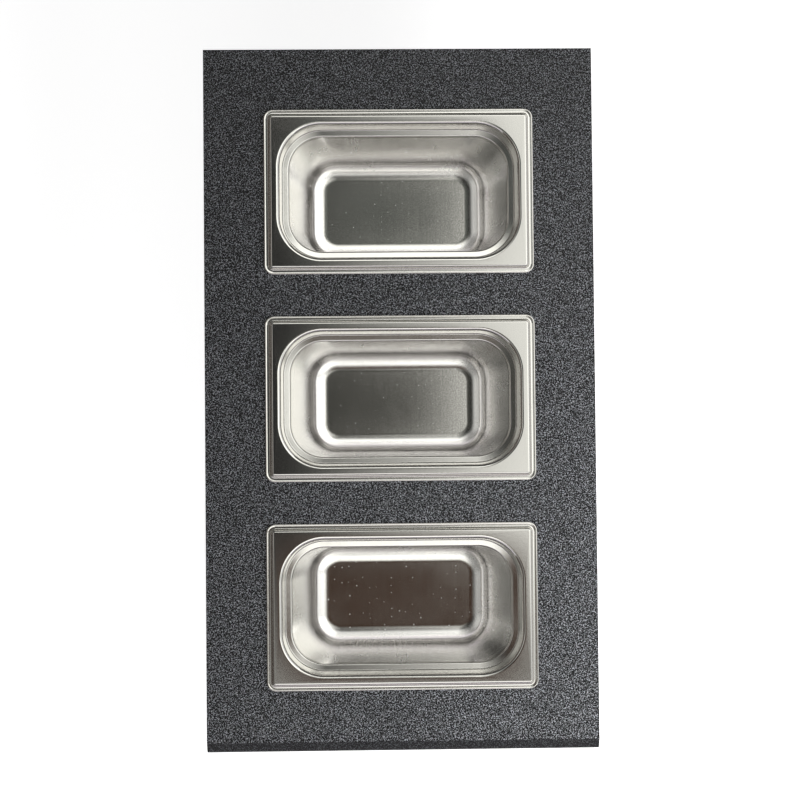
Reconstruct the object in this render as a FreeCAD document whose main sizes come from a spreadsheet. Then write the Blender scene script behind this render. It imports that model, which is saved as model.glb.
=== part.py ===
import FreeCAD, Part
import math
import os

import Sketcher

# Condiment tray: a folded steel panel with three drawn steel pans hanging by their rims in its cut-outs.
# Frame: +X to the right, +Y to the rear, +Z up, with the origin in the middle of the plane of the
# panel's underside, on which the tray rests. Lengths are in millimetres and drafts in degrees.

# Each pan's place in the row, counted in pitches from the middle
PAN_PLACES = {"rear_pan": 1, "middle_pan": 0, "front_pan": -1}

DRIVING_SIZES = {
    # Panel: its sheet, the margins outside the pans' rims, the gap between two rims, and the front lip
    "panel_sheet": 2.0,
    "side_margin": 39.0,
    "end_margin": 39.6,
    "rim_gap": 27.0,
    "lip_depth": 25.0,
    "bend_radius": 6.0,
    "cutout_clearance": 1.7,
    # Pan: its sheet, the outline of its rim, and its depth from the top of the rim
    "pan_sheet": 0.8,
    "rim_length": 176.0,
    "rim_width": 108.0,
    "rim_corner": 6.0,
    "pan_depth": 100.0,
    # Rim section, from the foot up the step and over the flange to the mouth
    "foot_edge_radius": 0.4,
    "foot_flat": 0.5,
    "valley_radius": 0.8,
    "step_side": 0.8,
    "flange_roll": 1.6,
    "flange_flat": 4.5,
    "mouth_roll": 2.5,
    "mouth_corner": 27.6,
    # Collar below the mouth, and the stacking ledge at its lower end
    "collar_depth": 14.0,
    "collar_draft": 6.0,
    "ledge_hollow_radius": 1.2,
    "ledge_flat": 0.6,
    "ledge_roll": 2.5,
    # Tapered walls and rounded floor
    "end_draft": 7.7,
    "side_draft": 2.8,
    "floor_corner": 21.0,
    "floor_radius": 9.5,
}

DERIVED_SIZES = {
    # Rim section
    "foot_run": "sizes.valley_radius + sizes.foot_flat + sizes.foot_edge_radius",
    "flange_run": "sizes.flange_roll + sizes.flange_flat + sizes.mouth_roll",
    "rim_height": "sizes.pan_sheet + sizes.valley_radius + sizes.step_side + sizes.flange_roll",
    "hollow_height": "rim_height - sizes.pan_sheet",
    # Outlines of the upper side, from the rim inwards and down to the floor
    "step_length": "sizes.rim_length - 2 * foot_run",
    "step_width": "sizes.rim_width - 2 * foot_run",
    "step_corner": "sizes.rim_corner - foot_run",
    "mouth_length": "step_length - 2 * flange_run",
    "mouth_width": "step_width - 2 * flange_run",
    "collar_run": "sizes.collar_depth * tan(sizes.collar_draft)",
    "collar_length": "mouth_length - 2 * collar_run",
    "collar_width": "mouth_width - 2 * collar_run",
    "collar_corner": "sizes.mouth_corner - collar_run",
    "ledge_run": "sizes.ledge_hollow_radius + sizes.ledge_flat + sizes.ledge_roll",
    "wall_length": "collar_length - 2 * ledge_run",
    "wall_width": "collar_width - 2 * ledge_run",
    "wall_corner": "collar_corner - ledge_run",
    "ledge_level": "rim_height - sizes.collar_depth",
    "base_level": "rim_height - sizes.pan_depth",
    "floor_level": "base_level + sizes.pan_sheet",
    "wall_height": "ledge_level - floor_level",
    "floor_length": "wall_length - 2 * wall_height * tan(sizes.end_draft)",
    "floor_width": "wall_width - 2 * wall_height * tan(sizes.side_draft)",
    # Outlines of the under side, one sheet away from those of the upper side
    "hollow_length": "step_length - 2 * sizes.pan_sheet",
    "hollow_width": "step_width - 2 * sizes.pan_sheet",
    "hollow_corner": "step_corner - sizes.pan_sheet",
    "mouth_skin_length": "mouth_length + 2 * sizes.pan_sheet",
    "mouth_skin_width": "mouth_width + 2 * sizes.pan_sheet",
    "mouth_skin_corner": "sizes.mouth_corner + sizes.pan_sheet",
    "collar_skin_length": "collar_length + 2 * sizes.pan_sheet",
    "collar_skin_width": "collar_width + 2 * sizes.pan_sheet",
    "collar_skin_corner": "collar_corner + sizes.pan_sheet",
    "wall_skin_length": "wall_length + 2 * sizes.pan_sheet",
    "wall_skin_width": "wall_width + 2 * sizes.pan_sheet",
    "wall_skin_corner": "wall_corner + sizes.pan_sheet",
    "floor_skin_length": "floor_length + 2 * sizes.pan_sheet",
    "floor_skin_width": "floor_width + 2 * sizes.pan_sheet",
    "floor_skin_corner": "sizes.floor_corner + sizes.pan_sheet",
    "ledge_skin_level": "ledge_level - sizes.pan_sheet",
    # Radii of the under side, which keep the sheet's thickness round each bend
    "flange_skin_roll": "sizes.flange_roll - sizes.pan_sheet",
    "mouth_skin_roll": "sizes.mouth_roll - sizes.pan_sheet",
    "ledge_skin_radius": "sizes.ledge_hollow_radius + sizes.pan_sheet",
    "ledge_skin_roll": "sizes.ledge_roll - sizes.pan_sheet",
    "floor_skin_radius": "sizes.floor_radius + sizes.pan_sheet",
    # Panel: each cut-out clears the collar that passes through it
    "seat_run": "rim_height * tan(sizes.collar_draft)",
    "cutout_spread": "sizes.pan_sheet + sizes.cutout_clearance - seat_run",
    "cutout_length": "mouth_length + 2 * cutout_spread",
    "cutout_width": "mouth_width + 2 * cutout_spread",
    "cutout_corner": "sizes.mouth_corner + cutout_spread",
    "pan_pitch": "sizes.rim_width + sizes.rim_gap",
    "row_length": "2 * pan_pitch",
    "panel_width": "sizes.rim_length + 2 * sizes.side_margin",
    "panel_length": "row_length + sizes.rim_width + 2 * sizes.end_margin",
    "panel_reach": "panel_length / 2",
    "lip_drop": "sizes.lip_depth - sizes.panel_sheet",
    "bend_skin_radius": "sizes.bend_radius + sizes.panel_sheet",
}

# An edge is picked by its middle, which may lie this far from the corner that it stands for
EDGE_REACH = 0.3

# Numbers by which a sketch knows an element's ends and centre, its horizontal axis and its origin
FIRST_END = 1
LAST_END = 2
CENTRE = 3
BASE_AXIS = -1

doc = FreeCAD.newDocument("condiment_tray")


def fill_sheet(name, cells):
    """Make a sheet with one named cell to a row."""
    sheet = doc.addObject("Spreadsheet::Sheet", name)
    for row, (alias, content) in enumerate(cells.items(), start=1):
        sheet.set(f"A{row}", alias)
        sheet.set(f"B{row}", content)
        sheet.setAlias(f"B{row}", alias)
    doc.recompute()


def cell(alias):
    """The full name of a named cell."""
    return f"sizes.{alias}" if alias in DRIVING_SIZES else f"derived.{alias}"


def number(alias):
    """The value that a named cell holds."""
    sheet_name = cell(alias).split(".")[0]
    return float(doc.getObject(sheet_name).get(alias))


def attach_sketch(body, name, plane_role):
    """An empty sketch on one of the body's own planes."""
    plane = next(feature for feature in body.Origin.OriginFeatures if feature.Role == plane_role)
    sketch = body.newObject("Sketcher::SketchObject", f"{body.Name}_{name}")
    sketch.AttachmentSupport = (plane, [""])
    sketch.MapMode = "FlatFace"
    return sketch


def add_size(sketch, name, constraint, alias):
    """Add a dimension to a sketch and tie it to a named cell."""
    index = sketch.addConstraint(constraint)
    sketch.renameConstraint(index, name)
    sketch.setExpression(f"Constraints.{name}", cell(alias))


def outline(body, name, level=None):
    """A level rectangle with rounded corners round the body's Z axis, sized by the cells of that name."""
    sketch = attach_sketch(body, f"{name}_outline", "XY_Plane")
    if level:
        sketch.setExpression("AttachmentOffset.Base.z", cell(level))
    side_x = number(f"{name}_length") / 2
    side_y = number(f"{name}_width") / 2
    radius = number(f"{name}_corner")
    arc_x = side_x - radius
    arc_y = side_y - radius
    up = FreeCAD.Vector(0, 0, 1)

    def line(start_x, start_y, end_x, end_y):
        start = FreeCAD.Vector(start_x, start_y, 0)
        end = FreeCAD.Vector(end_x, end_y, 0)
        return sketch.addGeometry(Part.LineSegment(start, end))

    def arc(centre_x, centre_y, start_angle):
        circle = Part.Circle(FreeCAD.Vector(centre_x, centre_y, 0), up, radius)
        start = math.radians(start_angle)
        return sketch.addGeometry(Part.ArcOfCircle(circle, start, start + math.pi / 2))

    front = line(-arc_x, -side_y, arc_x, -side_y)
    front_right = arc(arc_x, -arc_y, -90)
    right = line(side_x, -arc_y, side_x, arc_y)
    rear_right = arc(arc_x, arc_y, 0)
    rear = line(arc_x, side_y, -arc_x, side_y)
    rear_left = arc(-arc_x, arc_y, 90)
    left = line(-side_x, arc_y, -side_x, -arc_y)
    front_left = arc(-arc_x, -arc_y, 180)

    loop = [front, front_right, right, rear_right, rear, rear_left, left, front_left]
    for here, following in zip(loop, loop[1:] + loop[:1]):
        sketch.addConstraint(Sketcher.Constraint("Tangent", here, LAST_END, following, FIRST_END))
    for side in (front, rear):
        sketch.addConstraint(Sketcher.Constraint("Horizontal", side))
    for side in (left, right):
        sketch.addConstraint(Sketcher.Constraint("Vertical", side))
    for corner in (rear_right, rear_left, front_left):
        sketch.addConstraint(Sketcher.Constraint("Equal", front_right, corner))
    centred = Sketcher.Constraint("Symmetric", front_right, CENTRE, rear_left, CENTRE, BASE_AXIS, FIRST_END)
    sketch.addConstraint(centred)
    across = Sketcher.Constraint("DistanceX", left, FIRST_END, right, FIRST_END, 2 * side_x)
    along = Sketcher.Constraint("DistanceY", front, FIRST_END, rear, FIRST_END, 2 * side_y)
    add_size(sketch, "length", across, f"{name}_length")
    add_size(sketch, "width", along, f"{name}_width")
    add_size(sketch, "corner", Sketcher.Constraint("Radius", front_right, radius), f"{name}_corner")
    return sketch


def pad(body, name, profile, length):
    """Raise a profile into a solid."""
    feature = body.newObject("PartDesign::Pad", f"{body.Name}_{name}")
    feature.Profile = profile
    feature.setExpression("Length", cell(length))
    doc.recompute()
    return feature


def pocket(body, name, profile, depth, upwards=False):
    """Cut a profile out of the body, down from its sketch or upwards."""
    volume_before = body.Shape.Volume
    feature = body.newObject("PartDesign::Pocket", f"{body.Name}_{name}")
    feature.Profile = profile
    feature.setExpression("Length", cell(depth))
    feature.Reversed = upwards
    doc.recompute()
    if body.Shape.Volume >= volume_before:
        raise RuntimeError(f"{body.Label}: {name} cut nothing")
    return feature


def loft(body, kind, name, upper, lower):
    """Add or take away the straight-sided solid between two level outlines."""
    feature = body.newObject(f"PartDesign::{kind}", f"{body.Name}_{name}")
    feature.Profile = upper
    feature.Sections = [lower]
    feature.Ruled = True
    doc.recompute()


def round_edge(body, name, place_y, place_z, radius):
    """Round the chain of edges that crosses the body's YZ plane at the given place."""
    base = body.Tip
    edges = base.Shape.Edges
    place = FreeCAD.Vector(0, place_y, place_z)

    def miss(index):
        edge = edges[index]
        middle = edge.valueAt((edge.FirstParameter + edge.LastParameter) / 2)
        return middle.distanceToPoint(place)

    nearest = min(range(len(edges)), key=miss)
    if miss(nearest) > EDGE_REACH:
        raise RuntimeError(f"{body.Label}: no edge found for {name}")
    feature = body.newObject("PartDesign::Fillet", f"{body.Name}_{name}")
    feature.Base = (base, [f"Edge{nearest + 1}"])
    feature.setExpression("Radius", cell(radius))
    doc.recompute()


def make_panel():
    """The panel: one sheet, folded down along its front edge, with a cut-out for each pan."""
    body = doc.addObject("PartDesign::Body", "panel")
    body.Label = "panel"
    reach = number("panel_reach")
    sheet = number("panel_sheet")
    lip_drop = number("lip_drop")

    # Side view of the folded sheet, with its bend still sharp
    section = attach_sketch(body, "section", "YZ_Plane")
    corners = [
        FreeCAD.Vector(reach, 0, 0),
        FreeCAD.Vector(reach, sheet, 0),
        FreeCAD.Vector(-reach, sheet, 0),
        FreeCAD.Vector(-reach, -lip_drop, 0),
        FreeCAD.Vector(sheet - reach, -lip_drop, 0),
        FreeCAD.Vector(sheet - reach, 0, 0),
    ]
    sides = range(len(corners))
    for start, end in zip(corners, corners[1:] + corners[:1]):
        section.addGeometry(Part.LineSegment(start, end))
    for here in sides:
        following = (here + 1) % len(corners)
        joined = Sketcher.Constraint("Coincident", here, LAST_END, following, FIRST_END)
        section.addConstraint(joined)
    rear_edge, top_face, lip_face, lip_edge, lip_back, underside = sides
    for side in (top_face, lip_edge, underside):
        section.addConstraint(Sketcher.Constraint("Horizontal", side))
    for side in (rear_edge, lip_face, lip_back):
        section.addConstraint(Sketcher.Constraint("Vertical", side))
    section.addConstraint(Sketcher.Constraint("PointOnObject", rear_edge, FIRST_END, BASE_AXIS))
    half = Sketcher.Constraint("DistanceX", BASE_AXIS, FIRST_END, rear_edge, FIRST_END, reach)
    whole = Sketcher.Constraint("DistanceX", lip_face, FIRST_END, rear_edge, LAST_END, 2 * reach)
    thick = Sketcher.Constraint("DistanceY", rear_edge, FIRST_END, rear_edge, LAST_END, sheet)
    lip_thick = Sketcher.Constraint("DistanceX", lip_edge, FIRST_END, lip_edge, LAST_END, sheet)
    drop = Sketcher.Constraint("DistanceY", lip_back, FIRST_END, lip_back, LAST_END, lip_drop)
    add_size(section, "reach", half, "panel_reach")
    add_size(section, "length", whole, "panel_length")
    add_size(section, "sheet", thick, "panel_sheet")
    add_size(section, "lip_sheet", lip_thick, "panel_sheet")
    add_size(section, "lip_drop", drop, "lip_drop")
    folded_sheet = pad(body, "folded_sheet", section, "panel_width")
    folded_sheet.SideType = "Symmetric"
    doc.recompute()

    # Both sides of the bend turn round one centre, so the sheet keeps its thickness
    round_edge(body, "bend_inside", sheet - reach, 0, "bend_radius")
    round_edge(body, "bend_outside", -reach, sheet, "bend_skin_radius")

    # The front cut-out, repeated rearwards at the pans' pitch
    cutout_outline = outline(body, "cutout", level="panel_sheet")
    cutout_outline.setExpression("AttachmentOffset.Base.y", f"-{cell('pan_pitch')}")
    front_cutout = pocket(body, "front_cutout", cutout_outline, "panel_sheet")
    row = body.newObject("PartDesign::LinearPattern", "panel_cutout_row")
    row.Originals = [front_cutout]
    row.Direction = (cutout_outline, ["V_Axis"])
    row.setExpression("Length", cell("row_length"))
    row.Occurrences = len(PAN_PLACES)
    body.Tip = row
    doc.recompute()
    return body


def make_pan(label, place):
    """A pan drawn from one sheet: rim, collar, stacking ledge, tapered walls and rounded floor."""
    body = doc.addObject("PartDesign::Body", label)
    body.Label = label

    # Rim: a foot that lies on the panel, and a flange raised above it, hollow below
    pad(body, "foot", outline(body, "rim"), "pan_sheet")
    pad(body, "flange", outline(body, "step"), "rim_height")
    pocket(body, "rim_hollow", outline(body, "hollow"), "hollow_height", upwards=True)

    # Outside of the collar and of the walls
    mouth_skin = outline(body, "mouth_skin", level="rim_height")
    collar_skin = outline(body, "collar_skin", level="ledge_skin_level")
    wall_skin = outline(body, "wall_skin", level="ledge_level")
    floor_skin = outline(body, "floor_skin", level="base_level")
    loft(body, "AdditiveLoft", "collar_block", mouth_skin, collar_skin)
    loft(body, "AdditiveLoft", "wall_block", wall_skin, floor_skin)

    # Inside of the collar and of the walls
    mouth = outline(body, "mouth", level="rim_height")
    collar = outline(body, "collar", level="ledge_level")
    wall = outline(body, "wall", level="ledge_level")
    floor = outline(body, "floor", level="floor_level")
    loft(body, "SubtractiveLoft", "collar_room", mouth, collar)
    loft(body, "SubtractiveLoft", "wall_room", wall, floor)

    def front(name):
        return -number(f"{name}_width") / 2

    # Bends of the upper side
    rim_height = number("rim_height")
    ledge_level = number("ledge_level")
    round_edge(body, "floor_bend", front("floor"), number("floor_level"), "floor_radius")
    round_edge(body, "ledge_bend", front("wall"), ledge_level, "ledge_roll")
    round_edge(body, "ledge_hollow", front("collar"), ledge_level, "ledge_hollow_radius")
    round_edge(body, "mouth_bend", front("mouth"), rim_height, "mouth_roll")
    round_edge(body, "flange_bend", front("step"), rim_height, "flange_roll")
    round_edge(body, "step_valley", front("step"), number("pan_sheet"), "valley_radius")
    round_edge(body, "foot_edge", front("rim"), number("pan_sheet"), "foot_edge_radius")

    # The same bends on the under side
    hollow_height = number("hollow_height")
    ledge_skin_level = number("ledge_skin_level")
    round_edge(body, "floor_skin_bend", front("floor_skin"), number("base_level"), "floor_skin_radius")
    round_edge(body, "ledge_skin_bend", front("wall_skin"), ledge_skin_level, "ledge_skin_roll")
    round_edge(body, "ledge_skin_edge", front("collar_skin"), ledge_skin_level, "ledge_skin_radius")
    round_edge(body, "mouth_skin_bend", front("mouth_skin"), hollow_height, "mouth_skin_roll")
    round_edge(body, "flange_skin_bend", front("hollow"), hollow_height, "flange_skin_roll")

    # The foot lies on the panel's top face
    body.setExpression("Placement.Base.y", f"{place} * {cell('pan_pitch')}")
    body.setExpression("Placement.Base.z", cell("panel_sheet"))
    doc.recompute()
    return body


fill_sheet("sizes", {alias: str(size) for alias, size in DRIVING_SIZES.items()})
fill_sheet("derived", {alias: f"={formula}" for alias, formula in DERIVED_SIZES.items()})

pieces = [make_panel()]
for label, place in PAN_PLACES.items():
    pieces.append(make_pan(label, place))

failed = [item.Name for item in doc.Objects if "Invalid" in item.State or "Error" in item.State]
if failed:
    raise RuntimeError(f"features that failed: {failed}")
for piece in pieces:
    if piece.Shape.isNull() or not piece.Shape.isValid() or len(piece.Shape.Solids) != 1:
        raise RuntimeError(f"{piece.Label} is not one valid solid")

os.makedirs("parts", exist_ok=True)
for piece in pieces:
    piece.Shape.exportStep(f"parts/{piece.Label}.step")
    box = piece.Shape.BoundBox
    print(f"{piece.Label}: {box.XLength:.2f} x {box.YLength:.2f} x {box.ZLength:.2f} mm,"
          f" z {box.ZMin:.2f} to {box.ZMax:.2f}, {piece.Shape.Volume:.0f} mm3")
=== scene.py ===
import math

import bmesh
import bpy
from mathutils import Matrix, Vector


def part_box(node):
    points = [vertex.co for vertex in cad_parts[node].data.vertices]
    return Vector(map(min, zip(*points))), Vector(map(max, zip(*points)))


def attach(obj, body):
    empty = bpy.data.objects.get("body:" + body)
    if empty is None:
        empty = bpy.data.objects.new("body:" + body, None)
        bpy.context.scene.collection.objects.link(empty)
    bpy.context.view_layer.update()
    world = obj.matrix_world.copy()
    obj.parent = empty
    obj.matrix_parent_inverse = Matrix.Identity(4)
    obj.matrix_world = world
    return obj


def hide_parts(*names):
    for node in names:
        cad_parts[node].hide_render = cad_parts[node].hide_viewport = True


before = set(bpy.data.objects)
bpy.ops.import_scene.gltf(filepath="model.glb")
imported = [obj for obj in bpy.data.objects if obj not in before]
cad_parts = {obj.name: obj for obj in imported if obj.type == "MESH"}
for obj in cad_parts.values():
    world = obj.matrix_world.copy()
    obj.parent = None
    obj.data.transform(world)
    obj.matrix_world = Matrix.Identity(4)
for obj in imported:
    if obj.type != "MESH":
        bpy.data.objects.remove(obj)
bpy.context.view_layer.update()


# Panel: one steel sheet with an opening for each pan, folded down along its front edge as a lip.
# It is powder coated in black, with a coarse pebbled texture that runs on over every edge.

PANEL_SHEET = 0.002
FOLD_REACH = 0.0074
FOLD_ANGLE = math.radians(32)
FOLD_RADIUS = 0.0015
NOSE_RADIUS = 0.003
FOLD_STEPS = 8
COATED_EDGE = 0.0005
EDGE_STEPS = 3
SMOOTH_BEND = math.radians(12)
CUTOUT_LENGTH = 0.15956
CUTOUT_WIDTH = 0.09156
CUTOUT_CORNER = 0.02968
CORNER_STEPS = 24

# Places closer together than this count as one
NEAR = 0.00002

panel_low, panel_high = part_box("panel")
fold_line = panel_low.y + FOLD_REACH


def middle_of(node):
    """The middle of a node's box, between its front and its rear."""
    low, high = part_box(node)
    return (low.y + high.y) / 2


def start_piece(name):
    """Begin a new piece with an empty mesh at the origin, in edit mode."""
    bpy.ops.object.select_all(action="DESELECT")
    bpy.ops.mesh.primitive_plane_add(size=1)
    piece = bpy.context.object
    piece.name = name
    piece.data.name = name
    bpy.ops.object.mode_set(mode="EDIT")
    bpy.ops.mesh.delete(type="VERT")
    bpy.ops.mesh.select_mode(type="VERT")
    return piece


def lay_outline(length, width, corner, middle_y, level):
    """Add a level rectangle with rounded corners to the mesh in hand, as a bare loop of edges."""
    middle = (0, middle_y, level)
    bpy.ops.mesh.primitive_plane_add(size=1, location=middle)
    bpy.ops.transform.resize(value=(length, width, 1), center_override=middle)
    if corner:
        bpy.ops.mesh.bevel(
            affect="VERTICES",
            offset_type="OFFSET",
            offset=corner,
            segments=CORNER_STEPS,
            clamp_overlap=False,
        )
    bpy.ops.mesh.delete(type="ONLY_FACE")


def pick(wanted):
    """Select the points of the mesh in hand whose place is wanted, and no others."""
    bpy.ops.mesh.select_all(action="DESELECT")
    drawn = bmesh.from_edit_mesh(bpy.context.object.data)
    for vert in drawn.verts:
        vert.select = wanted(vert.co)
    drawn.select_flush(True)
    bmesh.update_edit_mesh(bpy.context.object.data)


def face_up(level):
    """Turn the skin in hand over if its flat faces at a level look down."""
    drawn = bmesh.from_edit_mesh(bpy.context.object.data)
    flat = [face for face in drawn.faces if abs(face.calc_center_median().z - level) < NEAR]
    bpy.ops.mesh.select_all(action="SELECT")
    if sum(face.normal.z for face in flat) < 0:
        bpy.ops.mesh.flip_normals()


def apply_modifier(piece, kind, **settings):
    """Add a modifier with these settings to a piece and apply it."""
    bpy.ops.object.mode_set(mode="OBJECT")
    modifier = piece.modifiers.new(kind.title(), kind)
    for name, value in settings.items():
        setattr(modifier, name, value)
    bpy.ops.object.modifier_apply(modifier=modifier.name)


coated_panel = start_piece("coated_panel")
flat_width = panel_high.x - panel_low.x
flat_length = panel_high.y - fold_line
lay_outline(flat_width, flat_length, 0, (panel_high.y + fold_line) / 2, panel_high.z)
for node in ("rear_pan", "middle_pan", "front_pan"):
    lay_outline(CUTOUT_LENGTH, CUTOUT_WIDTH, CUTOUT_CORNER, middle_of(node), panel_high.z)
bpy.ops.mesh.select_all(action="SELECT")
bpy.ops.mesh.fill()
bpy.ops.mesh.tris_convert_to_quads()
face_up(panel_high.z)

# The front edge is folded down to a slanting face, then round a nose into the upright lip
slant_run = FOLD_REACH - FOLD_RADIUS * math.sin(FOLD_ANGLE) - NOSE_RADIUS * (1 - math.sin(FOLD_ANGLE))
slant = Vector((0, -slant_run, -slant_run * math.tan(FOLD_ANGLE)))
fold_centre = Vector((0, fold_line, panel_high.z - FOLD_RADIUS))
slant_face = Vector((0, -math.sin(FOLD_ANGLE), math.cos(FOLD_ANGLE)))
nose_centre = fold_centre + slant + (FOLD_RADIUS - NOSE_RADIUS) * slant_face
nose_angle = FOLD_ANGLE - math.pi / 2
lip = Vector((0, 0, panel_low.z - nose_centre.z))
pick(lambda place: abs(place.y - fold_line) < NEAR)
bpy.ops.mesh.spin(steps=FOLD_STEPS, angle=-FOLD_ANGLE, center=fold_centre, axis=(1, 0, 0))
bpy.ops.mesh.extrude_edges_move(TRANSFORM_OT_translate={"value": slant})
bpy.ops.mesh.spin(steps=FOLD_STEPS, angle=nose_angle, center=nose_centre, axis=(1, 0, 0))
bpy.ops.mesh.extrude_edges_move(TRANSFORM_OT_translate={"value": lip})
bpy.ops.mesh.select_all(action="SELECT")
bpy.ops.mesh.remove_doubles(threshold=NEAR)
bpy.ops.mesh.normals_make_consistent(inside=False)
face_up(panel_high.z)
apply_modifier(coated_panel, "SOLIDIFY", thickness=PANEL_SHEET, offset=-1, use_even_offset=True)
apply_modifier(coated_panel, "BEVEL", width=COATED_EDGE, segments=EDGE_STEPS, limit_method="ANGLE")
bpy.ops.object.shade_smooth_by_angle(angle=SMOOTH_BEND)


def start_material(name):
    """A new material with its node tree and its Principled shader."""
    material = bpy.data.materials.new(name)
    material.use_nodes = True
    return material, material.node_tree, material.node_tree.nodes["Principled BSDF"]


def fill_sockets(tree, node, sockets):
    """Fill a node's sockets with values or with other nodes' outputs."""
    for name, value in sockets.items():
        if isinstance(value, bpy.types.NodeSocket):
            tree.links.new(value, node.inputs[name])
        else:
            node.inputs[name].default_value = value


def add_node(tree, kind, sockets, **settings):
    """Add a node with these settings and with its sockets filled."""
    node = tree.nodes.new(kind)
    for name, value in settings.items():
        setattr(node, name, value)
    fill_sockets(tree, node, sockets)
    return node


def axes(tree, vector):
    """A vector taken apart into its X, Y and Z."""
    return add_node(tree, "ShaderNodeSeparateXYZ", {"Vector": vector}).outputs


def noise(tree, vector, scale, detail, distortion=0.0):
    """Cloudy noise at so many waves to the metre."""
    sockets = {"Vector": vector, "Scale": scale, "Detail": detail, "Distortion": distortion}
    return add_node(tree, "ShaderNodeTexNoise", sockets).outputs["Fac"]


def spread(tree, value, low, high, to_low=0.0, to_high=1.0, curve="LINEAR"):
    """A value's range mapped on to another range, and held at its ends."""
    sockets = {"Value": value, "From Min": low, "From Max": high, "To Min": to_low, "To Max": to_high}
    return add_node(tree, "ShaderNodeMapRange", sockets, interpolation_type=curve).outputs["Result"]


def reckon(tree, operation, first, second):
    """Two values put together by an operation such as a sum or a product."""
    return add_node(tree, "ShaderNodeMath", {0: first, 1: second}, operation=operation).outputs[0]


def blend_values(tree, factor, first, second):
    """Two values blended by a factor."""
    return spread(tree, factor, 0.0, 1.0, first, second)


def blend_colours(tree, factor, first, second):
    """Two colours blended by a factor, in the Mix node's sockets for colours."""
    sockets = {0: factor, 6: first, 7: second}
    return add_node(tree, "ShaderNodeMix", sockets, data_type="RGBA").outputs[2]


def bump(tree, height, strength, distance):
    """The normal of a surface that is raised by a height."""
    sockets = {"Height": height, "Strength": strength, "Distance": distance}
    return add_node(tree, "ShaderNodeBump", sockets).outputs["Normal"]


# Powder coat: pebbles melt into worm-like ridges with pits between them. The pale ridges are painted
# glints and the dark pits painted shade; the ridges are also painted dimmer on the fold and the lip, as
# shade.
COAT_PIT_PAINTED_SHADE = (0.002, 0.002, 0.0025, 1)
COAT_RIDGE_PAINTED_GLINT = (0.45, 0.465, 0.50, 1)
PEBBLES_PER_METRE = 1450
PEBBLE_DETAIL = 1.0
PEBBLE_WARP = 0.8
PEBBLE_STRENGTH = 1.0
PEBBLE_HEIGHT = 0.00025
RIDGE_RANGE = (0.54, 0.63)
PAINTED_SHADE_FACING_RANGE = (0.85, 0.97)
FOLD_PAINTED_SHADE_SHARE = 0.24
PIT_ROUGHNESS = 0.42
RIDGE_ROUGHNESS = 0.26
COAT_SPECULAR = 0.25

powder_coat, coat_tree, coat_shader = start_material("black_powder_coat")
coat_coordinates = add_node(coat_tree, "ShaderNodeTexCoord", {}).outputs
coat_facing = axes(coat_tree, coat_coordinates["Normal"])["Z"]
pebbles = noise(coat_tree, coat_coordinates["Object"], PEBBLES_PER_METRE, PEBBLE_DETAIL, PEBBLE_WARP)
ridges = spread(coat_tree, pebbles, *RIDGE_RANGE, curve="SMOOTHSTEP")
# Painted shade: the ridges are dimmed to a share where the coat does not face straight up, on the fold and
# the lip
painted_fold_shade = spread(coat_tree, coat_facing, *PAINTED_SHADE_FACING_RANGE, FOLD_PAINTED_SHADE_SHARE, 1.0)
ridges_with_painted_light = reckon(coat_tree, "MULTIPLY", ridges, painted_fold_shade)
# The base colour is painted light: pale ridges as painted glints, dark pits as painted shade
coat_sockets = {
    "Base Color": blend_colours(coat_tree, ridges_with_painted_light, COAT_PIT_PAINTED_SHADE, COAT_RIDGE_PAINTED_GLINT),
    "Roughness": blend_values(coat_tree, ridges, PIT_ROUGHNESS, RIDGE_ROUGHNESS),
    "Specular IOR Level": COAT_SPECULAR,
    "Normal": bump(coat_tree, pebbles, PEBBLE_STRENGTH, PEBBLE_HEIGHT),
}
fill_sockets(coat_tree, coat_shader, coat_sockets)
coated_panel.data.materials.append(powder_coat)

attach(coated_panel, "panel")
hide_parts("panel")


# Pans: three alike, each deep drawn from one stainless sheet, with a beaded rim, a collar, a stacking
# ledge, tapered walls and a rounded floor. They hang by their rims and lift straight out.

PAN_SHEET = 0.0008
RIM_GAP = 0.00002
RIM_CORNER = 0.006
RIM_EDGE = 0.0003
RIM_EDGE_ANGLE = math.radians(60)
BEAD_HEIGHT = 0.0016
BEAD_ROLL = 0.00075
BEAD_FOOT_INSET = 0.0015
BEAD_FOOT_HEIGHT = 0.00085
VALLEY_INSET = 0.0031
VALLEY_HEIGHT = 0.00099
VALLEY_RADIUS = 0.0008
STEP_INSET = 0.0046
FLANGE_ROLL = 0.0015
MOUTH_INSET = 0.0103
MOUTH_ROLL = 0.0025
MOUTH_CORNER = 0.0276
COLLAR_DEPTH = 0.014
COLLAR_DRAFT = math.radians(6.0)
LEDGE_HOLLOW = 0.0007
LEDGE_RUN = 0.0043
LEDGE_FALL = 0.0007
LEDGE_ROLL = 0.0013
END_DRAFT = math.radians(7.7)
SIDE_DRAFT = math.radians(2.8)
FLOOR_CORNER = 0.0195
HEEL_RADIUS = 0.007
SWEEP_RADIUS = 0.020
SWEEP_RISE = 0.0037
SWEEP_RUN = 0.0081
ROLL_STEPS = 8

pan_low, pan_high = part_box("middle_pan")
rim_length = pan_high.x - pan_low.x
rim_width = pan_high.y - pan_low.y
flange_top = pan_high.z
ledge_level = flange_top - COLLAR_DEPTH
floor_level = pan_low.z + PAN_SHEET
mouth_length = rim_length - 2 * MOUTH_INSET
mouth_width = rim_width - 2 * MOUTH_INSET
collar_run = COLLAR_DEPTH * math.tan(COLLAR_DRAFT)


def round_bend(before, corner, after, radius):
    """Points of the arc that rounds one corner of a section of insets and levels."""
    corner = Vector(corner)
    back = (Vector(before) - corner).normalized()
    onward = (Vector(after) - corner).normalized()
    half_angle = back.angle(onward) / 2
    centre = corner + (back + onward).normalized() * radius / math.sin(half_angle)
    first_spoke = (corner + back * radius / math.tan(half_angle) - centre).normalized()
    last_spoke = (corner + onward * radius / math.tan(half_angle) - centre).normalized()
    shares = [step / ROLL_STEPS for step in range(ROLL_STEPS + 1)]
    return [centre + radius * first_spoke.slerp(last_spoke, share) for share in shares]


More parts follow.
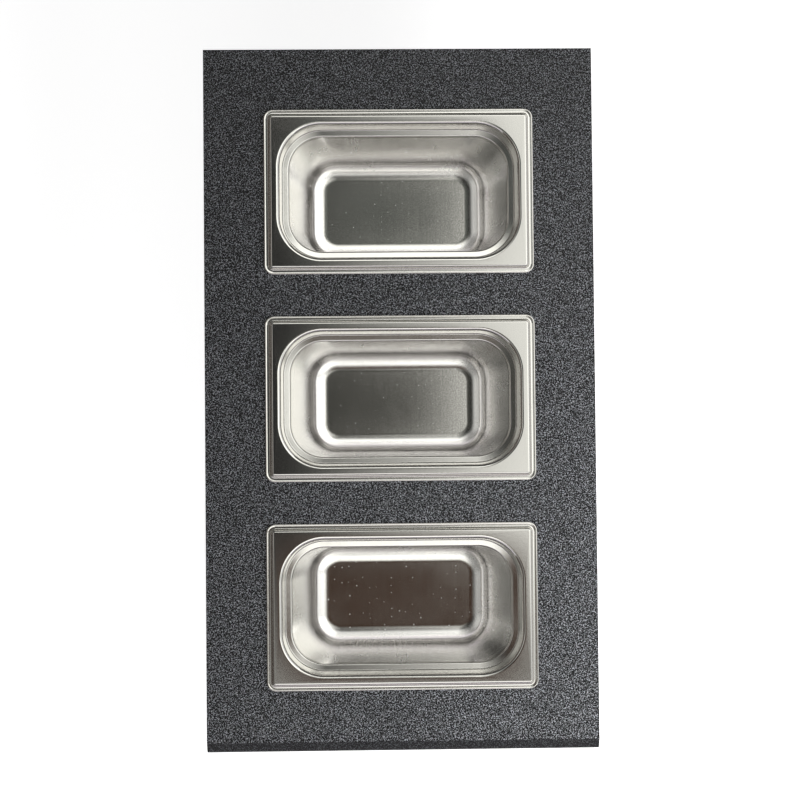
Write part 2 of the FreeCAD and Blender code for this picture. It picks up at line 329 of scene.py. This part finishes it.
def well_section(wall_run):
    """Insets and levels of a pan's inside, from mouth to floor, with a wall that runs in by so much."""
    flange = (-MOUTH_INSET, flange_top)
    mouth = (0, flange_top)
    collar_foot = (collar_run, ledge_level)
    wall_top = (collar_run + LEDGE_RUN, ledge_level - LEDGE_FALL)
    wall_foot = (collar_run + LEDGE_RUN + wall_run, floor_level)
    heel = Vector(wall_foot).lerp(Vector(wall_top), SWEEP_RISE / (wall_top[1] - floor_level))
    toe = (heel.x + SWEEP_RUN, floor_level)
    floor = (mouth_width, floor_level)
    return [
        *round_bend(flange, mouth, collar_foot, MOUTH_ROLL),
        *round_bend(mouth, collar_foot, wall_top, LEDGE_HOLLOW),
        *round_bend(collar_foot, wall_top, heel, LEDGE_ROLL),
        *round_bend(wall_top, heel, toe, HEEL_RADIUS),
        *round_bend(heel, toe, floor, SWEEP_RADIUS),
    ]


# Hoops of the drawn skin: length, width, corner radius and level, from the rim's edge to the floor
hoops = []
rim_edge = (0, panel_high.z + RIM_GAP)
bead = (0, panel_high.z + BEAD_HEIGHT)
bead_foot = (BEAD_FOOT_INSET, panel_high.z + BEAD_FOOT_HEIGHT)
valley = (VALLEY_INSET, panel_high.z + VALLEY_HEIGHT)
step_top = (STEP_INSET, flange_top)
flange_end = (MOUTH_INSET, flange_top)
rim_section = [
    Vector(rim_edge),
    *round_bend(rim_edge, bead, bead_foot, BEAD_ROLL),
    Vector(bead_foot),
    *round_bend(bead_foot, valley, step_top, VALLEY_RADIUS),
    *round_bend(valley, step_top, flange_end, FLANGE_ROLL),
]
for inset, level in rim_section:
    hoops.append((rim_length - 2 * inset, rim_width - 2 * inset, RIM_CORNER - inset, level))

wall_height = ledge_level - floor_level
wall_corner = MOUTH_CORNER - collar_run - LEDGE_RUN
end_section = well_section(wall_height * math.tan(END_DRAFT))
side_section = well_section(wall_height * math.tan(SIDE_DRAFT))
corner_section = well_section(wall_corner - FLOOR_CORNER)
for end, side, corner in zip(end_section, side_section, corner_section):
    level = (end.y + side.y) / 2
    hoops.append((mouth_length - 2 * end.x, mouth_width - 2 * side.x, MOUTH_CORNER - corner.x, level))


def pick_hoops(*wanted_hoops):
    """Select, by their place, the points of hoops that were laid before."""

    def on_hoop(place):
        for length, width, corner, level in wanted_hoops:
            reach_x = abs(place.x) - (length / 2 - corner)
            reach_y = abs(place.y) - (width / 2 - corner)
            off_arc = abs(math.hypot(reach_x, reach_y) - corner)
            if off_arc < NEAR and abs(place.z - level) < NEAR:
                return True
        return False

    pick(on_hoop)


steel_pan = start_piece("middle_steel_pan")
for length, width, corner, level in hoops:
    lay_outline(length, width, corner, 0, level)
for upper, lower in zip(hoops, hoops[1:]):
    pick_hoops(upper, lower)
    bpy.ops.mesh.bridge_edge_loops()
pick_hoops(hoops[-1])
bpy.ops.mesh.edge_face_add()
bpy.ops.mesh.select_all(action="SELECT")
bpy.ops.mesh.normals_make_consistent(inside=False)
face_up(floor_level)
apply_modifier(steel_pan, "SOLIDIFY", thickness=PAN_SHEET, offset=-1, use_even_offset=True)
apply_modifier(
    steel_pan,
    "BEVEL",
    width=RIM_EDGE,
    segments=EDGE_STEPS,
    limit_method="ANGLE",
    angle_limit=RIM_EDGE_ANGLE,
)
bpy.ops.object.shade_smooth()
apply_modifier(steel_pan, "WEIGHTED_NORMAL", keep_sharp=True)

# Stainless steel: nearly a mirror on the rim, softer down the drawn walls, satin on the floor. Painted
# light makes the walls paler than the rim, and painted shade makes the floor darker. Each zone goes by
# height, from where it starts to where it is complete.
RIM_STEEL = (0.64, 0.63, 0.60, 1)
WALL_STEEL_PAINTED_LIGHT = (0.87, 0.86, 0.845, 1)
FLANGE_ROUGHNESS = 0.12
LEDGE_ROUGHNESS = 0.18
WALL_ROUGHNESS = 0.25
FLOOR_ROUGHNESS = 0.14

flange_zone = (flange_top - 0.004, flange_top - 0.0005)
wall_zone = (ledge_level - 0.002, ledge_level - 0.006)
floor_zone = (floor_level + 0.0006, floor_level + 0.0001)

stainless_steel, steel_tree, steel_shader = start_material("stainless_steel")
steel_place = add_node(steel_tree, "ShaderNodeTexCoord", {}).outputs["Object"]
steel_axes = axes(steel_tree, steel_place)
on_flange = spread(steel_tree, steel_axes["Z"], *flange_zone)
on_wall = spread(steel_tree, steel_axes["Z"], *wall_zone)
on_floor = spread(steel_tree, steel_axes["Z"], *floor_zone)
zone_roughness = blend_values(steel_tree, on_wall, LEDGE_ROUGHNESS, WALL_ROUGHNESS)
zone_roughness = blend_values(steel_tree, on_flange, zone_roughness, FLANGE_ROUGHNESS)
zone_roughness = blend_values(steel_tree, on_floor, zone_roughness, FLOOR_ROUGHNESS)

# Grain runs from front to rear on the floor and down the walls, with broad clouds over both
GRAIN_STRETCH = 0.03
FLOOR_GRAIN_PER_METRE = 900
WALL_GRAIN_PER_METRE = 500
GRAIN_DETAIL = 2.0
GRAIN_RANGE = (0.25, 0.75)
GRAIN_STRENGTH = 0.2
GRAIN_HEIGHT = 0.00003
CLOUDS_PER_METRE = 45
CLOUD_DETAIL = 4.0
CLOUD_WARP = 0.4
CLOUD_RANGE = (0.3, 0.7)
ROUGHNESS_SWING = (0.92, 1.08)


def stretch(tree, vector, scale):
    """A place scaled along its axes, so that a pattern on it is drawn out."""
    return add_node(tree, "ShaderNodeMapping", {"Vector": vector, "Scale": scale}).outputs["Vector"]


floor_run = stretch(steel_tree, steel_place, (1, GRAIN_STRETCH, 1))
wall_run = stretch(steel_tree, steel_place, (1, 1, GRAIN_STRETCH))
floor_grain = noise(steel_tree, floor_run, FLOOR_GRAIN_PER_METRE, GRAIN_DETAIL)
wall_grain = noise(steel_tree, wall_run, WALL_GRAIN_PER_METRE, GRAIN_DETAIL)
grain = blend_values(steel_tree, on_floor, wall_grain, floor_grain)
clouds = noise(steel_tree, steel_place, CLOUDS_PER_METRE, CLOUD_DETAIL, CLOUD_WARP)
grain_swing = spread(steel_tree, grain, *GRAIN_RANGE, *ROUGHNESS_SWING)
cloud_swing = spread(steel_tree, clouds, *CLOUD_RANGE, *ROUGHNESS_SWING)
steel_roughness = reckon(steel_tree, "MULTIPLY", zone_roughness, grain_swing)
steel_roughness = reckon(steel_tree, "MULTIPLY", steel_roughness, cloud_swing)

# The floor has a fine satin of dim and bright points, a random tone whose dim points are also painted
# shade, so that the floor lies darker than the rim
FLOOR_DIM_PAINTED_SHADE = (0.45, 0.44, 0.41, 1)
FLOOR_BRIGHT = (0.64, 0.63, 0.60, 1)
SATIN_PER_METRE = 1300
SATIN_DETAIL = 1.0
SATIN_RANGE = (0.35, 0.65)

satin = noise(steel_tree, steel_place, SATIN_PER_METRE, SATIN_DETAIL)
satin = spread(steel_tree, satin, *SATIN_RANGE)
floor_steel_with_painted_shade = blend_colours(steel_tree, satin, FLOOR_DIM_PAINTED_SHADE, FLOOR_BRIGHT)
# Painted light: the walls get a paler copy of the rim's steel
steel_colour_with_painted_light_and_shade = blend_colours(steel_tree, on_wall, RIM_STEEL, WALL_STEEL_PAINTED_LIGHT)
# Painted shade: the floor's darker satin replaces the steel there
steel_colour_with_painted_light_and_shade = blend_colours(steel_tree, on_floor, steel_colour_with_painted_light_and_shade, floor_steel_with_painted_shade)

# White specks lie here and there on the floor, and are larger in the front pan
SPECK_COLOUR = (0.95, 0.95, 0.93, 1)
SPECK_ROUGHNESS = 0.7
SPECK_CELLS_PER_METRE = 200
SPECK_CHANCE = (0.6, 1.0)
LARGEST_SPECK = 0.085
FRONT_PAN_START = (-0.06, -0.08)
REAR_SPECK_SHARE = 0.5

speck_grid = {"Vector": steel_place, "Scale": SPECK_CELLS_PER_METRE}
cells = add_node(steel_tree, "ShaderNodeTexVoronoi", speck_grid, voronoi_dimensions="2D").outputs
cell_pick = add_node(steel_tree, "ShaderNodeSeparateColor", {"Color": cells["Color"]}).outputs["Red"]
speck_share = spread(steel_tree, steel_axes["Y"], *FRONT_PAN_START, REAR_SPECK_SHARE, 1.0)
speck_size = spread(steel_tree, cell_pick, *SPECK_CHANCE, 0.0, LARGEST_SPECK)
speck_size = reckon(steel_tree, "MULTIPLY", speck_size, speck_share)
speck = reckon(steel_tree, "LESS_THAN", cells["Distance"], speck_size)
speck = reckon(steel_tree, "MULTIPLY", speck, on_floor)
steel_sockets = {
    "Base Color": blend_colours(steel_tree, speck, steel_colour_with_painted_light_and_shade, SPECK_COLOUR),
    "Metallic": 1.0,
    "Roughness": blend_values(steel_tree, speck, steel_roughness, SPECK_ROUGHNESS),
    "Normal": bump(steel_tree, grain, GRAIN_STRENGTH, GRAIN_HEIGHT),
}
fill_sockets(steel_tree, steel_shader, steel_sockets)
steel_pan.data.materials.append(stainless_steel)

steel_pans = {"middle_pan": steel_pan}
for node in ("rear_pan", "front_pan"):
    bpy.ops.object.select_all(action="DESELECT")
    steel_pan.select_set(True)
    bpy.context.view_layer.objects.active = steel_pan
    bpy.ops.object.duplicate()
    copied_pan = bpy.context.object
    copied_pan.name = node.replace("_pan", "_steel_pan")
    copied_pan.data.name = copied_pan.name
    bpy.ops.transform.translate(value=(0, middle_of(node), 0))
    bpy.ops.object.transform_apply()
    steel_pans[node] = copied_pan

for node, pan in steel_pans.items():
    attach(pan, node)
    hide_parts(node)


# Floor: a plain white sheet just under the pans, with the tray's faint shadow on it.
# It glows only as the camera and the reflections see it, which keeps it white behind the tray.

WHITE = (1, 1, 1, 1)
STUDIO_FLOOR_COLOUR = (0.8, 0.8, 0.8, 1)
STUDIO_FLOOR_ROUGHNESS = 0.9
STUDIO_FLOOR_REACH = 12.0
STUDIO_FLOOR_GAP = 0.0005
STUDIO_FLOOR_GLOW = 0.88


def seen_directly(tree):
    """A factor of 1 for what the camera sees, straight or in metal or glass, and of 0 for soft light."""
    path = add_node(tree, "ShaderNodeLightPath", {}).outputs
    seen = reckon(tree, "MAXIMUM", path["Is Camera Ray"], path["Is Glossy Ray"])
    return reckon(tree, "MAXIMUM", seen, path["Is Transmission Ray"])


bpy.ops.object.select_all(action="DESELECT")
bpy.ops.mesh.primitive_plane_add(size=STUDIO_FLOOR_REACH, location=(0, 0, pan_low.z - STUDIO_FLOOR_GAP))
white_floor = bpy.context.object
white_floor.name = "white_floor"
bpy.ops.object.transform_apply()
floor_white, floor_tree, floor_shader = start_material("white_floor")
floor_sockets = {
    "Base Color": STUDIO_FLOOR_COLOUR,
    "Roughness": STUDIO_FLOOR_ROUGHNESS,
    "Specular IOR Level": 0.0,
    "Emission Color": WHITE,
    "Emission Strength": reckon(floor_tree, "MULTIPLY", seen_directly(floor_tree), STUDIO_FLOOR_GLOW),
}
fill_sockets(floor_tree, floor_shader, floor_sockets)
white_floor.data.materials.append(floor_white)


# Light: a pale studio with a soft box close on the right and a weaker one in front. The steel also mirrors
# what hangs round the tray out of the camera's sight: a graded sheet overhead, dark walls to the left and
# rear, pale walls in front, and small dark cards with soft edges above the pans.

AMBIENT = 0.06

world = bpy.data.worlds.new("pale_studio")
bpy.context.scene.world = world
world.use_nodes = True
world_tree = world.node_tree
world_level = blend_values(world_tree, seen_directly(world_tree), AMBIENT, 1.0)
fill_sockets(world_tree, world_tree.nodes["Background"], {"Color": WHITE, "Strength": world_level})

# How a card is turned: level, or upright along the tray or across it
LYING_FLAT = (0, 0, 0)
UPRIGHT_ALONG = (0, math.pi / 2, 0)
UPRIGHT_ACROSS = (math.pi / 2, 0, 0)
BLACK = (0, 0, 0, 1)


def hang_card(name, middle, size, turn, glow):
    """A card that the steel mirrors, out of the camera's sight, as its node tree and shader."""
    bpy.ops.object.select_all(action="DESELECT")
    bpy.ops.mesh.primitive_plane_add(size=1, location=middle)
    card = bpy.context.object
    card.name = name
    card.scale = (*size, 1)
    card.rotation_euler = turn
    bpy.ops.object.transform_apply()
    finish, tree, shader = start_material(name)
    sockets = {
        "Base Color": BLACK,
        "Specular IOR Level": 0.0,
        "Emission Color": (*glow, 1),
        "Emission Strength": 1.0,
    }
    fill_sockets(tree, shader, sockets)
    card.data.materials.append(finish)
    card.visible_camera = False
    card.visible_diffuse = False
    return tree, shader


# Overhead sheet: each pair of places, in metres to the right or rear of the tray's middle, is where
# its glow starts and stops changing. Two more numbers are how bright it is there.
SHEET_GLOW = (1.0, 1.0, 0.96)
SHEET_ACROSS = (-0.12, 0.22, 0.02, 1.15)
SHEET_RIGHT = (0.30, 0.50, 0.0, 0.9)
SHEET_LEFT = (-0.65, -0.95, 0.0, 0.8)
SHEET_FRONT = (-0.18, -0.40)
SHEET_FRONT_LEVEL = 0.33
SHEET_FRONT_END = (-0.45, -0.60)
SHEET_REAR_END = (0.55, 0.75)
SHEET_ENDS_ACROSS = (-0.50, -0.10, 0.3, 1.9)

sheet_tree, sheet_shader = hang_card("overhead_sheet", (0, 0.15, 1.6), (3.0, 3.3), LYING_FLAT, SHEET_GLOW)
sheet_axes = axes(sheet_tree, add_node(sheet_tree, "ShaderNodeTexCoord", {}).outputs["Object"])
sheet_level = spread(sheet_tree, sheet_axes["X"], *SHEET_ACROSS)
sheet_right = spread(sheet_tree, sheet_axes["X"], *SHEET_RIGHT)
sheet_left = spread(sheet_tree, sheet_axes["X"], *SHEET_LEFT)
sheet_level = reckon(sheet_tree, "ADD", sheet_level, sheet_right)
sheet_level = reckon(sheet_tree, "ADD", sheet_level, sheet_left)
towards_front = spread(sheet_tree, sheet_axes["Y"], *SHEET_FRONT)
sheet_level = blend_values(sheet_tree, towards_front, sheet_level, SHEET_FRONT_LEVEL)
front_end = spread(sheet_tree, sheet_axes["Y"], *SHEET_FRONT_END)
rear_end = spread(sheet_tree, sheet_axes["Y"], *SHEET_REAR_END)
at_ends = reckon(sheet_tree, "MAXIMUM", front_end, rear_end)
end_level = spread(sheet_tree, sheet_axes["X"], *SHEET_ENDS_ACROSS)
sheet_level = blend_values(sheet_tree, at_ends, sheet_level, end_level)
fill_sockets(sheet_tree, sheet_shader, {"Emission Strength": sheet_level})

hang_card("dark_wall_left", (-1.5, 0.15, 0.75), (1.7, 3.3), UPRIGHT_ALONG, (0.12, 0.10, 0.09))
hang_card("dark_wall_rear", (0, 1.8, 0.75), (3.0, 1.7), UPRIGHT_ACROSS, (0.09, 0.09, 0.085))
hang_card("pale_wall_front", (0, -1.6, 0.43), (3.0, 1.04), UPRIGHT_ACROSS, (0.38, 0.36, 0.39))
hang_card("lilac_wall_front", (0, -1.6, 1.28), (3.0, 0.66), UPRIGHT_ACROSS, (1.25, 1.18, 1.28))


def reckon_vector(tree, operation, *vectors):
    """Vectors put together by an operation, axis by axis."""
    sockets = dict(enumerate(vectors))
    return add_node(tree, "ShaderNodeVectorMath", sockets, operation=operation).outputs[0]


# Soft edge: how far a level card covers what is above it, fading out towards its four edges
CARD_FADE = 0.05

soft_edge = bpy.data.node_groups.new("soft_edge", "ShaderNodeTree")
for socket in ("Middle", "Half Size"):
    soft_edge.interface.new_socket(socket, in_out="INPUT", socket_type="NodeSocketVector")
soft_edge.interface.new_socket("Cover", in_out="OUTPUT", socket_type="NodeSocketFloat")
card_given = add_node(soft_edge, "NodeGroupInput", {}).outputs
card_place = add_node(soft_edge, "ShaderNodeTexCoord", {}).outputs["Object"]
from_middle = reckon_vector(soft_edge, "SUBTRACT", card_place, card_given["Middle"])
from_middle = reckon_vector(soft_edge, "ABSOLUTE", from_middle)
from_edges = axes(soft_edge, reckon_vector(soft_edge, "SUBTRACT", card_given["Half Size"], from_middle))
nearest_edge = reckon(soft_edge, "MINIMUM", from_edges["X"], from_edges["Y"])
add_node(soft_edge, "NodeGroupOutput", {"Cover": spread(soft_edge, nearest_edge, 0.0, CARD_FADE)})


def hang_soft_card(name, middle, size, glow):
    """A level card with soft edges that the steel mirrors, out of the camera's sight."""
    tree, shader = hang_card(name, middle, size, LYING_FLAT, glow)
    card_sizes = {"Middle": middle, "Half Size": (size[0] / 2, size[1] / 2, 0)}
    cover = add_node(tree, "ShaderNodeGroup", card_sizes, node_tree=soft_edge).outputs["Cover"]
    fill_sockets(tree, shader, {"Alpha": cover})


BROWN_GLOW = (0.070, 0.036, 0.022)

hang_soft_card("dark_card_middle", (-0.005, 0.017, 0.5), (0.180, 0.145), (0.08, 0.08, 0.072))
hang_soft_card("brown_card_front", (0.012, -0.190, 0.5), (0.270, 0.175), BROWN_GLOW)
hang_soft_card("brown_card_above", (0.020, -0.270, 1.2), (0.330, 0.145), BROWN_GLOW)
hang_soft_card("grey_card_rear", (0.010, 0.220, 0.5), (0.190, 0.140), (0.12, 0.13, 0.12))


def add_softbox(name, location, aim, size, radiance):
    """A rectangular soft light at a place, turned to face a point."""
    light = bpy.data.lights.new(name, "AREA")
    light.shape = "RECTANGLE"
    light.size, light.size_y = size
    light.energy = radiance * math.pi * size[0] * size[1]
    box = bpy.data.objects.new(name, light)
    bpy.context.scene.collection.objects.link(box)
    box.location = location
    box.rotation_euler = (Vector(aim) - Vector(location)).to_track_quat("-Z", "Y").to_euler()
    box.visible_camera = False
    box.visible_glossy = False


add_softbox("softbox_right", (0.38, -0.22, 0.28), (0, -0.07, 0), (0.5, 0.16), 9.5)
add_softbox("softbox_front", (-0.1, -0.6, 0.5), (0, -0.15, 0), (0.6, 0.3), 2.3)


# Camera: above the tray, a little left of its middle and in front of it, looking almost straight down.
# Its place and turn were fitted to the outlines of the panel and the rims.

camera_data = bpy.data.cameras.new("camera_above")
camera_data.sensor_width = 36.0
camera_data.lens = 74.64
camera = bpy.data.objects.new("camera_above", camera_data)
bpy.context.scene.collection.objects.link(camera)
camera.location = (-0.0220, -0.0335, 1.0800)
camera.rotation_euler = (0.0301, -0.0198, -0.0093)
bpy.context.scene.camera = camera
bpy.context.scene.view_settings.view_transform = "Standard"
